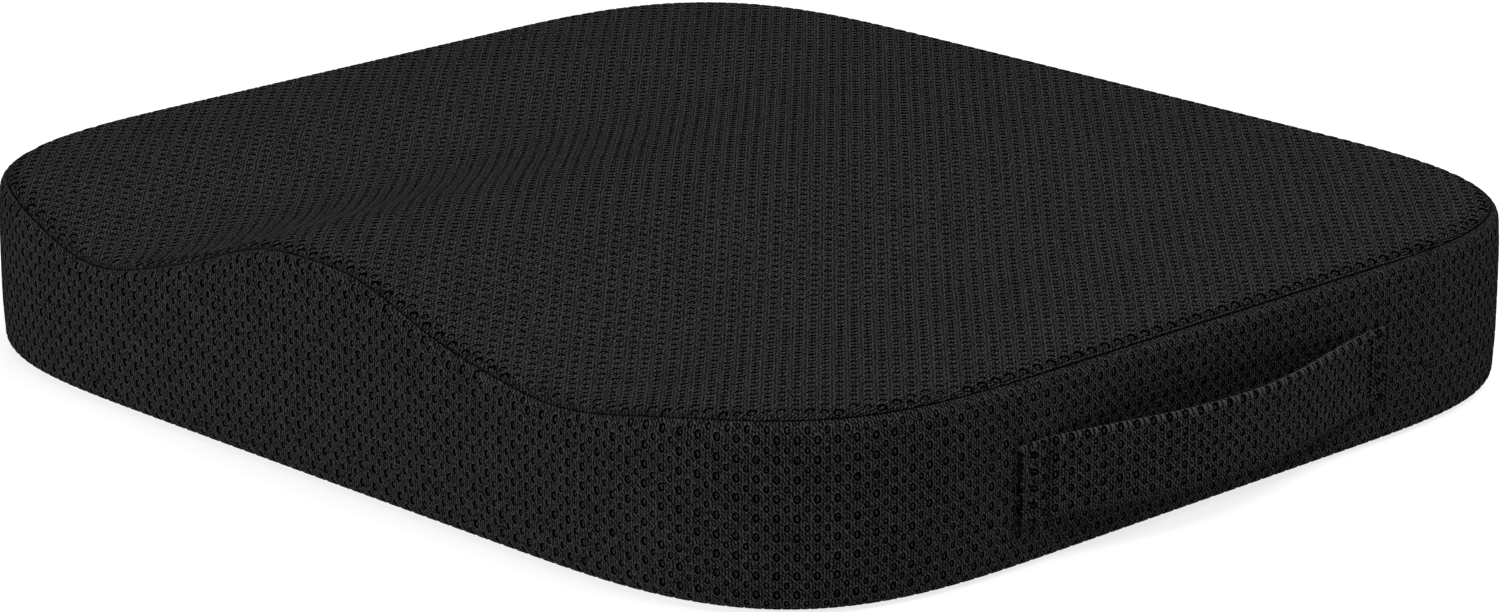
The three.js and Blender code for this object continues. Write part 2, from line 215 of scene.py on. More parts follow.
def finish_with(piece, kind, **settings):
    """Adds a modifier and applies it."""
    bpy.context.view_layer.objects.active = piece
    modifier = piece.modifiers.new(kind.lower(), kind)
    for key, value in settings.items():
        setattr(modifier, key, value)
    bpy.ops.object.modifier_apply(modifier=modifier.name)


def smooth(piece, degrees):
    take(piece)
    bpy.ops.object.shade_smooth_by_angle(angle=math.radians(degrees))
    deselect()


# ---- The cushion's form ------------------------------------------------------------------------------


def end_bow(x):
    return 1 + (END_BOW / HALF_DEPTH) * (1 - (x / HALF_WIDTH) ** 2)


def past_corner(x, y):
    """How far a point of the plan lies past the middles of the corner curves, across and along."""
    across = np.maximum(np.abs(x) - (HALF_WIDTH - CORNER_REACH), 0)
    along = np.maximum(np.abs(y / end_bow(x)) - (HALF_DEPTH - CORNER_REACH), 0)
    return across, along


def corner_length(across, along):
    return (across**CORNER_POWER + along**CORNER_POWER) ** (1 / CORNER_POWER)


def inset_of(x, y):
    """How far a point of the plan lies inside the outline."""
    return CORNER_REACH - corner_length(*past_corner(x, y))


def at_inset(x, y, inset):
    """The plan point that lies straight outwards, at the given inset."""
    across, along = past_corner(x, y)
    scale = (CORNER_REACH - inset) / np.maximum(corner_length(across, along), MM)
    out_x = np.where(across > 0, np.sign(x) * (HALF_WIDTH - CORNER_REACH + across * scale), x)
    plain_y = y / end_bow(x)
    out_y = np.where(along > 0, np.sign(y) * (HALF_DEPTH - CORNER_REACH + along * scale), plain_y)
    return out_x, out_y * end_bow(out_x)


def rim_line(steps=600):
    """The outline as a closed line, counterclockwise from the middle of the front."""
    angle = np.linspace(-math.pi / 2, 1.5 * math.pi, 4 * steps + 1)
    x, y = at_inset(2 * HALF_WIDTH * np.cos(angle), 2 * HALF_DEPTH * np.sin(angle), 0)
    return x, y


RIM_X, RIM_Y = rim_line()
RIM_ALONG = np.concatenate([[0], np.cumsum(np.hypot(np.diff(RIM_X), np.diff(RIM_Y)))])
RIM_LENGTH = RIM_ALONG[-1]
REAR_MIDDLE = RIM_LENGTH / 2
BAND_END = REAR_MIDDLE - REAR_CUT


def rim_at(along):
    x = np.interp(along, RIM_ALONG, RIM_X, period=RIM_LENGTH)
    y = np.interp(along, RIM_ALONG, RIM_Y, period=RIM_LENGTH)
    return x, y


def rim_point(along):
    """The outline's point and outward direction at a length along it."""
    x, y = rim_at(along)
    step = 1.5 * MM
    ahead_x, ahead_y = rim_at(along + step)
    behind_x, behind_y = rim_at(along - step)
    dx = ahead_x - behind_x
    dy = ahead_y - behind_y
    length = np.hypot(dx, dy)
    return x, y, dy / length, -dx / length


def along_of(x, y):
    """The length along the outline of the plan point straight inside it."""
    out_x, out_y = at_inset(x, y, 0)
    turn = (np.arctan2(out_y, out_x) + math.pi / 2) % (2 * math.pi)
    rim_turn = np.unwrap(np.arctan2(RIM_Y, RIM_X)) + math.pi / 2
    return np.interp(turn, rim_turn, RIM_ALONG)


def contour(x, y):
    """Height of the seat above its plain level: the ridge and the grooves, fading towards the rear."""
    ahead = np.clip((CONTOUR_END - y) / (CONTOUR_END + HALF_DEPTH), 0, 1)
    strength = ahead * (1 + CONTOUR_BOW * (1 - ahead))
    ridge_half = RIDGE_HALF_WIDTH * (1 + RIDGE_WIDENING * (1 - ahead))
    ridge = RIDGE_HEIGHT * np.exp(-((np.abs(x) / ridge_half) ** RIDGE_POWER))
    depth = np.where(x < 0, GROOVE_DEPTH_LEFT, GROOVE_DEPTH_RIGHT)
    groove = depth * np.exp(-(((np.abs(x) - GROOVE_OFFSET) / GROOVE_HALF_WIDTH) ** 2))
    return strength * (ridge - groove)


def seam_height(x, y):
    return SEAM_HEIGHT + contour(x, y)


def seat_surface(x, y):
    """The outer face of the top panel over a plan point."""
    inside = np.maximum(inset_of(x, y) - SEAM_INSET, -ROLL_LENGTH)
    z = seam_height(x, y) + TOP_RISE * (1 - np.exp(-inside / ROLL_LENGTH))
    return np.stack([x, y, z], axis=1)


def wall_surface(along, up):
    """The outer face of the wall, by length along the outline and length of cloth up the wall."""
    x, y, out_x, out_y = rim_point(along)
    seam = seam_height(x, y)
    turn = np.clip((EDGE_ROUND - up) / FOOT_ARC, 0, 1.2) * math.pi / 2
    inset = EDGE_ROUND * (1 - np.cos(turn))
    z = np.where(up < EDGE_ROUND, EDGE_ROUND - (EDGE_ROUND - FOOT_HEIGHT) * np.sin(turn), up)
    lean = np.clip(1 - (seam - z) / WALL_LEAN, 0, 1.3)
    inset = inset + SEAM_INSET * lean**2.4
    inset = inset - WALL_CROWN * np.sin(math.pi * np.clip(z / seam, 0, 1))
    return np.stack([x - out_x * inset, y - out_y * inset, z], axis=1)


def facing(surface, along, across):
    """The outward direction of a surface."""
    step = 0.05 * MM
    side = surface(along + step, across) - surface(along - step, across)
    rise = surface(along, across + step) - surface(along, across - step)
    normal = np.cross(side, rise)
    return normal / np.linalg.norm(normal, axis=1)[:, None]


def laid_on(surface, flat, swell=None):
    """Points of flat cloth (along, across, out) carried onto a surface, and out by what it swells."""
    along, across, out = flat.T
    if swell is not None:
        out = out + swell(along, across)
    return surface(along, across) + facing(surface, along, across) * out[:, None]


# ---- Spacer mesh -------------------------------------------------------------------------------------


def diamond_cloth(name, low, high, pitch, first_hole):
    """Flat cloth as diamonds, one round each opening of the knit; returns it and the grid's corner."""
    pitch_x, pitch_y = pitch
    start_x = first_hole[0] - pitch_x / 2
    start_x += math.floor((low[0] - start_x) / pitch_x) * pitch_x
    start_y = first_hole[1] + math.floor((low[1] - first_hole[1]) / pitch_y) * pitch_y
    count_x = math.ceil((high[0] - start_x) / pitch_x) + 1
    count_y = math.ceil((high[1] - start_y) / pitch_y) + 1
    deselect()
    bpy.ops.mesh.primitive_grid_add(x_subdivisions=count_x, y_subdivisions=count_y, size=1)
    piece = named(name)
    points = points_of(piece)
    points[:, 0] = start_x + (points[:, 0] + 0.5) * count_x * pitch_x
    points[:, 1] = start_y + (points[:, 1] + 0.5) * count_y * pitch_y
    move_points(piece, points)
    corners = len(points)
    pick(piece, "FACE")
    bpy.ops.mesh.poke()
    leave()
    straight = (edge_ends(piece) < corners).all(axis=1) & ~border_edges(piece)
    pick(piece, "EDGE", straight)
    bpy.ops.mesh.dissolve_edges(use_verts=False)
    leave()
    return piece, (start_x, start_y)


def trim(piece, inside):
    """Deletes the diamonds that lie over the panel's edge, and the half ones left at the grid's border."""
    points = points_of(piece)
    outside = inside(points[:, 0], points[:, 1]) < -EDGE_OVERLAP
    centres = face_centres(piece)
    total, first = faces_of(piece)
    corners = corner_points(piece)
    touches = np.add.reduceat(outside[corners].astype(int), first) > 0
    too_near = inside(centres[:, 0], centres[:, 1]) < HOLE_MARGIN
    delete_faces(piece, touches | too_near | (total < 4))


def draw_in(piece, inside, snap):
    """Moves the points that lie past the panel's edge to just inside it."""
    points = points_of(piece)
    gap = inside(points[:, 0], points[:, 1])
    goal_x, goal_y = snap(points[:, 0], points[:, 1])
    past = gap < EDGE_MARGIN
    reach = np.hypot(goal_x - points[:, 0], goal_y - points[:, 1])
    share = np.where(past, (EDGE_MARGIN - gap) / np.maximum(reach, 0.01 * MM), 0)
    sign = np.where(gap < 0, 1, -1)
    points[:, 0] += (goal_x - points[:, 0]) * share * sign
    points[:, 1] += (goal_y - points[:, 1]) * share * sign
    move_points(piece, points)


def eight_sided(piece, start, pitch):
    """Gives each diamond a point in the middle of every edge."""
    pick(piece, "FACE")
    bpy.ops.mesh.subdivide(number_cuts=1)
    leave()
    points = points_of(piece)
    half_x = 2 * (points[:, 0] - start[0]) / pitch[0]
    half_y = 2 * (points[:, 1] - start[1]) / pitch[1]
    near = (np.abs(half_x - np.round(half_x)) < 0.1) & (np.abs(half_y - np.round(half_y)) < 0.1)
    middle = near & ((np.round(half_x) + np.round(half_y)).astype(int) % 2 == 1)
    pick(piece, "VERT", middle)
    bpy.ops.mesh.dissolve_verts()
    leave()


def ring_points(piece):
    """The points round each selected eight-sided face, and the faces' centres."""
    total, first = faces_of(piece)
    chosen = selected_faces(piece) & (total == 8)
    rings = corner_points(piece)[first[chosen][:, None] + np.arange(8)]
    centres = points_of(piece)[rings].mean(axis=1)
    return rings, centres


def shape_rings(piece, start, pitch, scale, height, shut, stretch):
    """Rounds the selected faces to the openings' sizes, at a height. Shut ones stay level."""
    rings, centres = ring_points(piece)
    points = points_of(piece)
    row = np.round(2 * (centres[:, 1] - start[1]) / pitch[1]).astype(int) % 2
    closed = shut(centres[:, 0], centres[:, 1])
    scale = scale * stretch(centres[:, 0], centres[:, 1])
    radius_x = np.where(row == 0, LARGE_HOLE[0], SMALL_HOLE[0]) * np.where(closed, SHUT_SPREAD[0], 1) * scale
    radius_y = np.where(row == 0, LARGE_HOLE[1], SMALL_HOLE[1]) * np.where(closed, SHUT_SPREAD[1], 1) * scale
    away = points[rings] - centres[:, None]
    angle = np.arctan2(away[:, :, 1] / pitch[1], away[:, :, 0] / pitch[0])
    points[rings, 0] = centres[:, None, 0] + radius_x[:, None] * np.cos(angle)
    points[rings, 1] = centres[:, None, 1] + radius_y[:, None] * np.sin(angle)
    points[rings, 2] = np.where(closed, 0, height)[:, None]
    move_points(piece, points)


def nowhere(x, y):
    return np.zeros(len(x), dtype=bool)


def unstretched(x, y):
    return np.ones(len(x))


def knit_holes(piece, start, pitch, hole, shut, stretch):
    """Opens the knit: a rim standing proud, a ring going in, and the inner knit raised in the middle."""
    depth, floor_share, plug_share = hole
    rings = [
        (0.6 * MM, 1.0, RIM_RISE),
        (0.15 * MM, floor_share, -depth),
        (0.1 * MM, plug_share, -PLUG_DROP),
    ]
    pick(piece, "FACE")
    for thickness, scale, height in rings:
        bpy.ops.object.mode_set(mode="EDIT")
        bpy.ops.mesh.inset(thickness=thickness, use_individual=True)
        leave()
        pulled = unstretched if scale == plug_share else stretch
        shape_rings(piece, start, pitch, scale, height, shut, pulled)
    before = len(piece.data.vertices)
    bpy.ops.object.mode_set(mode="EDIT")
    bpy.ops.mesh.poke()
    leave()
    plug = np.arange(len(piece.data.vertices)) >= before
    lowest = face_lowest(piece)
    deep = lowest < -0.5 * depth
    in_plug = np.add.reduceat(plug[corner_points(piece)].astype(int), faces_of(piece)[1]) > 0
    sunk = in_plug & (lowest < -0.5 * PLUG_DROP)
    # Faces deep in each opening take the second, near-black material: painted shade inside the opening.
    kind = np.where(sunk, 2, np.where(deep, 1, 0))
    piece.data.polygons.foreach_set("material_index", kind.astype(np.int32))
    points = points_of(piece)
    points[before:, 2] *= PLUG_CROWN
    move_points(piece, points)


def face_lowest(piece):
    """The lowest corner of each face."""
    return np.minimum.reduceat(points_of(piece)[corner_points(piece), 2], faces_of(piece)[1])


def run_to_edge(piece, snap, steps, lip=LIP_DEPTH):
    """Extrudes the cloth's border out to its sewn edge, then turns it down into the seam."""
    pick(piece, "EDGE", border_edges(piece))
    leave()
    start = points_of(piece)[selected_points(piece)]
    goal = np.array(start)
    goal[:, 0], goal[:, 1] = snap(start[:, 0], start[:, 1])
    levels = [(step / steps, 0) for step in range(1, steps + 1)]
    if lip:
        levels += [(1, -lip * 0.35), (1, -lip)]
    for share, height in levels:
        current = points_of(piece)[selected_points(piece)]
        bpy.ops.object.mode_set(mode="EDIT")
        bpy.ops.mesh.extrude_edges_move()
        leave()
        points = points_of(piece)
        chosen = np.nonzero(selected_points(piece))[0]
        order = match_rows(current, points[chosen])
        start, goal = start[order], goal[order]
        points[chosen] = start + (goal - start) * share
        points[chosen, 2] += height
        move_points(piece, points)


def tree_of(points):
    """The points in a tree that finds the nearest of them."""
    tree = KDTree(len(points))
    for row, point in enumerate(points):
        tree.insert(point, row)
    tree.balance()
    return tree


def match_rows(known, found):
    """For each found point, the row of the same point among the known ones."""
    tree = tree_of(known)
    return np.array([tree.find(point)[1] for point in found], dtype=int)


def write_map(piece, name, values):
    """Writes two numbers a point as a UV map."""
    layer = piece.data.uv_layers.get(name) or piece.data.uv_layers.new(name=name)
    spread = values[corner_points(piece)]
    layer.data.foreach_set("uv", np.asarray(spread, dtype=np.float32).ravel())


# ---- Materials ---------------------------------------------------------------------------------------


class Finish:
    """A material and short ways to add its nodes."""

    def __init__(self, name, roughness, gloss=0.3):
        self.material = bpy.data.materials.new(name)
        self.material.use_nodes = True
        self.nodes = self.material.node_tree.nodes
        self.links = self.material.node_tree.links
        self.shader = self.nodes["Principled BSDF"]
        self.shader.inputs["Roughness"].default_value = roughness
        self.shader.inputs["Specular IOR Level"].default_value = gloss

    def join(self, source, target):
        self.links.new(source, target)

    def sum(self, operation, first, second=0.0, third=None):
        node = self.nodes.new("ShaderNodeMath")
        node.operation = operation
        for socket, value in zip(node.inputs, (first, second, third)):
            if value is None:
                continue
            if isinstance(value, (int, float)):
                socket.default_value = value
            else:
                self.join(value, socket)
        return node.outputs[0]

    def uv(self, name):
        node = self.nodes.new("ShaderNodeUVMap")
        node.uv_map = name
        return node.outputs[0]

    def place(self):
        return self.nodes.new("ShaderNodeTexCoord").outputs["Object"]

    def noise(self, vector, scale, detail=2.0, roughness=0.5):
        node = self.nodes.new("ShaderNodeTexNoise")
        node.inputs["Scale"].default_value = scale
        node.inputs["Detail"].default_value = detail
        node.inputs["Roughness"].default_value = roughness
        self.join(vector, node.inputs["Vector"])
        return node.outputs[0]

    def first_of(self, name, place=0):
        """One of the two numbers of a UV map."""
        node = self.nodes.new("ShaderNodeSeparateXYZ")
        self.join(self.uv(name), node.inputs[0])
        return node.outputs[place]

    def near_edge(self, reach):
        """1 at the cloth's edge, falling to 0 at the reach."""
        near = self.sum("SUBTRACT", 1.0, self.sum("DIVIDE", self.first_of("edge", 1), reach))
        return self.sum("MAXIMUM", self.sum("MINIMUM", near, 1.0), 0.0)

    def strands(self, vector, turn, width=0.7 * MM, length=2.2 * MM):
        """Short broken fibres lying along one direction of the cloth."""
        node = self.nodes.new("ShaderNodeMapping")
        node.vector_type = "TEXTURE"
        node.inputs["Rotation"].default_value = (0, 0, math.radians(turn))
        node.inputs["Scale"].default_value = (width, length, 1)
        self.join(vector, node.inputs["Vector"])
        return self.noise(node.outputs[0], 1.0, 1.0)

    def bands(self, vector, direction, pitch, distortion=0.0):
        node = self.nodes.new("ShaderNodeTexWave")
        node.bands_direction = direction
        node.inputs["Scale"].default_value = math.pi / 10 / pitch
        node.inputs["Distortion"].default_value = distortion
        node.inputs["Detail"].default_value = 1.0
        node.inputs["Detail Scale"].default_value = 1.5
        self.join(vector, node.inputs["Vector"])
        return node.outputs["Fac"]

    def colours(self, factor, low, high):
        node = self.nodes.new("ShaderNodeMix")
        node.data_type = "RGBA"
        node.inputs[6].default_value = (*low, 1)
        node.inputs[7].default_value = (*high, 1)
        self.join(factor, node.inputs[0])
        return node.outputs[2]

    def bump(self, height, distance, strength=1.0):
        node = self.nodes.new("ShaderNodeBump")
        node.inputs["Strength"].default_value = strength
        node.inputs["Distance"].default_value = distance
        self.join(height, node.inputs["Height"])
        return node.outputs[0]


def grey(value):
    return (value, value, value)


WALE_PITCH = 1.05 * MM
COURSE_PITCH = 0.75 * MM
STRAND_TURN = 34
COMB_PITCH = 2.1 * MM
COMB_AND_HIGHLIGHT_REACH = 2.6 * MM
SHADOW_REACH = 6 * MM
KNIT_RELIEF = 0.4 * MM
SHADE_GAIN = 4.8  # the knit's height to its colour: 0 is the dark one and 1 the light one
SHADE_START = -3.55


def knitted(name, low, high, comb_and_highlight=0.0, shadow=0.0):
    """Black knit: fine wales and courses, broken strands, and loops round the openings lightened as a
    painted highlight.

    Over a fold a row of threads shows, lightened in part as a painted highlight; beside a seam the knit is
    darkened as painted shadow.
    """
    finish = Finish(name, roughness=0.72, gloss=0.0)
    cloth = finish.uv("cloth")
    wales = finish.bands(cloth, "X", WALE_PITCH, 3.0)
    slant = finish.bands(cloth, "DIAGONAL", COURSE_PITCH, 5.0)
    rising = finish.strands(cloth, STRAND_TURN)
    falling = finish.strands(cloth, -STRAND_TURN)
    crossed = finish.sum("MAXIMUM", rising, falling)
    fibre = finish.noise(finish.place(), 1300, 3, 0.75)
    lines = finish.sum("MULTIPLY", finish.sum("ADD", wales, slant), 0.22)
    knit = finish.sum("MULTIPLY_ADD", fibre, 0.5, finish.sum("MULTIPLY_ADD", crossed, 0.5, lines))
    # The rim's rise goes into the colour as well as the bump: a painted highlight on the loops round each
    # opening.
    rise = finish.sum("POWER", finish.first_of("rise"), 4.0)
    height = finish.sum("MULTIPLY_ADD", rise, 0.25, knit)
    # Over a fold: a row of threads across it, and a net lightening along it that is a painted highlight.
    if comb_and_highlight:
        threads = finish.sum("SUBTRACT", finish.bands(finish.uv("edge"), "X", COMB_PITCH, 1.0), 0.25)
        near = finish.near_edge(COMB_AND_HIGHLIGHT_REACH)
        height = finish.sum("MULTIPLY_ADD", finish.sum("MULTIPLY", threads, near), comb_and_highlight, height)
    patches = finish.noise(finish.place(), 60, 3)
    lit = finish.sum("MULTIPLY_ADD", height, SHADE_GAIN, SHADE_START)
    shade = finish.sum("MULTIPLY_ADD", patches, 0.25, lit)
    # Painted shadow: the knit's colour darkens towards its seam, where the panel rolls under.
    if shadow:
        shade = finish.sum("MULTIPLY_ADD", finish.near_edge(SHADOW_REACH), -shadow, shade)
    finish.join(finish.colours(shade, low, high), finish.shader.inputs["Base Color"])
    rough = finish.sum("MULTIPLY_ADD", fibre, 0.25, 0.58)
    finish.join(rough, finish.shader.inputs["Roughness"])
    finish.join(finish.bump(height, KNIT_RELIEF), finish.shader.inputs["Normal"])
    return finish.material


def twisted_thread(name):
    finish = Finish(name, roughness=0.55, gloss=0.3)
    twist = finish.bands(finish.place(), "DIAGONAL", 0.35 * MM, 0.3)
    finish.join(finish.colours(twist, grey(0.003), grey(0.009)), finish.shader.inputs["Base Color"])
    finish.join(finish.bump(twist, 0.06 * MM), finish.shader.inputs["Normal"])
    return finish.material


def woven(name, low, high, across, up, pitch):
    """Plain weave: two sets of bands over the piece's own directions."""
    finish = Finish(name, roughness=0.8, gloss=0.2)
    warp = finish.bands(finish.place(), across, pitch, 0.3)
    weft = finish.bands(finish.place(), up, pitch * 1.2, 0.3)
    weave = finish.sum("MAXIMUM", finish.sum("MULTIPLY", warp, weft), finish.sum("MULTIPLY", warp, 0.5))
    fibre = finish.noise(finish.place(), 900, 3)
    height = finish.sum("MULTIPLY_ADD", fibre, 0.4, weave)
    finish.join(finish.colours(height, low, high), finish.shader.inputs["Base Color"])
    finish.join(finish.sum("MULTIPLY_ADD", fibre, 0.2, 0.68), finish.shader.inputs["Roughness"])
    finish.join(finish.bump(height, 0.12 * MM), finish.shader.inputs["Normal"])
    return finish.material


def smooth_finish(name, low, high, roughness, gloss, metal, grain):
    """Moulded or painted hard parts: faint unevenness in colour, gloss and surface."""
    finish = Finish(name, roughness=roughness, gloss=gloss)
    finish.shader.inputs["Metallic"].default_value = metal
    blotch = finish.noise(finish.place(), grain, 4)
    fine = finish.noise(finish.place(), grain * 9, 2)
    finish.join(finish.colours(blotch, low, high), finish.shader.inputs["Base Color"])
    rough = finish.sum("MULTIPLY_ADD", blotch, 0.25, roughness - 0.1)
    finish.join(rough, finish.shader.inputs["Roughness"])
    finish.join(finish.bump(fine, 0.03 * MM, 0.5), finish.shader.inputs["Normal"])
    return finish.material


def cut_foam(name):
    finish = Finish(name, roughness=0.95, gloss=0.1)
    cells = finish.nodes.new("ShaderNodeTexVoronoi")
    cells.inputs["Scale"].default_value = 900
    finish.join(finish.place(), cells.inputs["Vector"])
    clouds = finish.noise(finish.place(), 25, 3)
    tone = finish.sum("MULTIPLY_ADD", cells.outputs[0], 0.7, finish.sum("MULTIPLY", clouds, 0.4))
    cream = finish.colours(tone, (0.62, 0.58, 0.46), (0.84, 0.81, 0.70))
    finish.join(cream, finish.shader.inputs["Base Color"])
    finish.join(finish.bump(cells.outputs[0], 0.4 * MM), finish.shader.inputs["Normal"])
    return finish.material


SPACER_FACE = knitted("spacer_mesh_face", grey(0.003), grey(0.039))
# The seat's copy: painted shadow along its seam, and a light tone a little lower.
SPACER_SEAT = knitted("spacer_mesh_seat", grey(0.003), grey(0.037), shadow=0.25)
# The strap's copy: threads over its folds, lightened in part as a painted highlight, and a light tone a
# little higher.
SPACER_FOLD = knitted("spacer_mesh_strap", grey(0.003), grey(0.042), comb_and_highlight=1.0)
# Near black, far darker than the knit itself: painted shade on the walls inside each opening.
SPACER_HOLE_SHADE = knitted("spacer_mesh_hole_painted_shade", grey(0.0004), grey(0.0012))
SPACER_INNER = knitted("spacer_mesh_inner_knit", grey(0.004), grey(0.038))
THREAD = twisted_thread("black_thread")
WOVEN_TAPE = woven("zip_woven_tape", grey(0.006), grey(0.016), "X", "Z", 0.6 * MM)
TAB_CLOTH = woven("zip_end_cloth", grey(0.006), grey(0.014), "X", "Z", 0.8 * MM)
BASE_CLOTH = woven("base_cloth", grey(0.007), grey(0.018), "X", "Y", 0.9 * MM)
GRIP_RUBBER = smooth_finish("grip_dot_rubber", grey(0.008), grey(0.014), 0.5, 0.3, 0.0, 300)
COIL_PLASTIC = smooth_finish("zip_coil_plastic", grey(0.008), grey(0.016), 0.38, 0.45, 0.0, 500)
PAINTED_METAL = smooth_finish("painted_zip_metal", grey(0.01), grey(0.03), 0.35, 0.5, 0.4, 250)
FOAM = cut_foam("moulded_foam")


def dress(piece, *materials):
    kinds = read(piece.data.polygons, "material_index", kind=np.int32)
    piece.data.materials.clear()
    for material in materials:
        piece.data.materials.append(material)
    piece.data.polygons.foreach_set("material_index", np.minimum(kinds, len(materials) - 1))


# ---- Cover panels ------------------------------------------------------------------------------------


def sewn_panel(name, low, high, pitch, first_hole, inside, snap, surface, swell=None, **details):
    """Flat knit cut to its edge, turned in along its seams and laid on its surface."""
    piece, start = diamond_cloth(name, low, high, pitch, first_hole)
    trim(piece, inside)
    eight_sided(piece, start, pitch)
    draw_in(piece, inside, snap)
    hole = details.get("hole", WALL_HOLE)
    shut = details.get("shut", nowhere)
    stretch = details.get("stretch", unstretched)
    knit_holes(piece, start, pitch, hole, shut, stretch)
    draw_in(piece, inside, snap)
    run_to_edge(piece, snap, details.get("steps", 2), details.get("lip", LIP_DEPTH))
    flat = points_of(piece)
    # How high each point stands towards its rim, kept as a map; the knit's material uses it for the rims'
    # bump and for a painted highlight on them.
    rise = np.clip(flat[:, 2] / RIM_RISE, 0, 1)
    write_map(piece, "cloth", flat[:, :2])
    write_map(piece, "edge", details["edge_map"](flat[:, 0], flat[:, 1]))
    write_map(piece, "rise", np.stack([rise, rise], axis=1))
    move_points(piece, laid_on(surface, flat, swell))
    dress(piece, details.get("face", SPACER_FACE), SPACER_HOLE_SHADE, SPACER_INNER)
    smooth(piece, 60)
    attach(piece, "cover")
    return piece


ROLL_STRETCH = 0.25  # the openings widen by this share where the panel rolls over to its seam
STRETCH_REACH = 5 * MM


def make_top_panel(swell):
    edge = SEAM_INSET + SEAM_GAP

    def inside(x, y):
        return inset_of(x, y) - edge

    def snap(x, y):
        return at_inset(x, y, edge)

    def edge_map(x, y):
        return np.stack([along_of(x, y), inside(x, y)], axis=1)

    def stretch(x, y):
        return 1 + ROLL_STRETCH * np.clip(1.5 - inside(x, y) / STRETCH_REACH, 0, 1)

    size = (HALF_WIDTH, HALF_DEPTH + END_BOW)
    low = (-size[0], -size[1])
    return sewn_panel(
        "cover_top_panel", low, size, TOP_PITCH, (0, 0), inside, snap, seat_surface, swell,
        steps=3, edge_map=edge_map, hole=SEAT_HOLE, stretch=stretch, face=SPACER_SEAT,
    )


def sewn_strip(name, ends, low_at, high_at, pitch, first_hole, surface, swell=None, **details):
    """A strip between two lengths and two edges, each edge a function of the length."""
    begin, end = ends

    def gaps(along, up):
        return (up - low_at(along), high_at(along) - up, along - begin, end - along)

    def inside(along, up):
        return np.minimum.reduce(gaps(along, up))

    def snap(along, up):
        reach = 0.75 * pitch[1]
        below, above, before, after = gaps(along, up)
        nearest = np.minimum.reduce([below, above, before, after])
        new_along = np.where((before <= nearest) | (before < reach), begin, along)
        new_along = np.where((after <= nearest) | (after < reach), end, new_along)
        new_up = np.where(below <= nearest, low_at(new_along), up)
        new_up = np.where(above <= nearest, high_at(new_along), new_up)
        cornered = (np.minimum(before, after) < reach) & (np.minimum(below, above) < reach)
        new_up = np.where(cornered & (below < above), low_at(new_along), new_up)
        new_up = np.where(cornered & (above <= below), high_at(new_along), new_up)
        at_side = (np.minimum(before, after) > nearest) & ~cornered
        return np.where(at_side, along, new_along), new_up

    def edge_map(along, up):
        return np.stack([along, high_at(along) - up], axis=1)

    details.setdefault("edge_map", edge_map)
    line = np.linspace(begin, end, 400)
    low = (begin, low_at(line).min())
    high = (end, high_at(line).max())
    return sewn_panel(name, low, high, pitch, first_hole, inside, snap, surface, swell, **details)


def top_of_wall(along):
    x, y, _, _ = rim_point(along)
    return seam_height(x, y) - SEAM_GAP / 2


def foot_of_wall(along):
    return np.full(len(along), EDGE_ROUND - FOOT_ARC)


def above_slot(along):
    return np.full(len(along), ZIP_HEIGHT + SLOT_HALF_HEIGHT)


def below_slot(along):
    return np.full(len(along), ZIP_HEIGHT - SLOT_HALF_HEIGHT)


def add_cover(seat_swell, wall_swell):
    panel = make_top_panel(seat_swell)
    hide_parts("top_panel")
    front = (-BAND_END, BAND_END)
    rear = (REAR_MIDDLE - REAR_CUT, REAR_MIDDLE + REAR_CUT)
    strips = [
        ("cover_side_band", "side_band", front, foot_of_wall, top_of_wall),
        ("cover_rear_upper", "rear_band_upper", rear, above_slot, top_of_wall),
        ("cover_rear_lower", "rear_band_lower", rear, foot_of_wall, below_slot),
    ]
    for name, node, ends, low_at, high_at in strips:
        strip = sewn_strip(name, ends, low_at, high_at, BAND_PITCH, FIRST_HOLE, wall_surface, wall_swell)
        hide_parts(node)


# ---- Carry strap -------------------------------------------------------------------------------------

STRAP_WALL = HALF_WIDTH + 0.6 * MM
FOLD_RADIUS = STRAP_THICKNESS / 2
FOLD_ARC = math.pi * FOLD_RADIUS
STRAP_FACE = STRAP_TOP - STRAP_BOTTOM - STRAP_THICKNESS
FRONT_START = STRAP_FACE / 2 + FOLD_ARC  # lengths of cloth round the strap, from the middle of its back
FRONT_END = FRONT_START + STRAP_FACE
STRAP_ROUND = 2 * (STRAP_FACE + FOLD_ARC)
STITCH_PRESS = 0.8
PRESSED_ROWS = (
    (STITCH_FRONT, 1.4 * MM),
    (STITCH_REAR, 1.4 * MM),
    (BARTACK_FRONT, 1.0 * MM),
    (BARTACK_REAR, 1.0 * MM),
)
STITCH_LENGTH = 2.3 * MM
STITCH_RADIUS = 0.24 * MM
STITCH_STEP = 2.7 * MM
STITCHES = 9
TACK_RADIUS = 0.22 * MM
TACK_LEAN = 68
TACK_STEP = 1.02 * MM
TACKS = 24


def strap_bow(y):
    """How far the strap stands off the wall: sewn flat at both ends, bowed outwards between."""
    middle = (STITCH_FRONT + STITCH_REAR) / 2
    half = (STITCH_REAR - STITCH_FRONT) / 2
    across = np.minimum(np.abs(y - middle) / half, 1)
    return STRAP_BOW * np.maximum(np.cos(across * math.pi / 2), 0) ** STRAP_BOW_POWER


def strap_squeeze(y):
    """Share of its thickness that the strap keeps, pressed flat under each row of stitches."""
    pressed = np.zeros(len(y))
    for row, width in PRESSED_ROWS:
        pressed += np.exp(-(((y - row) / width) ** 2))
    return 1 - STITCH_PRESS * pressed


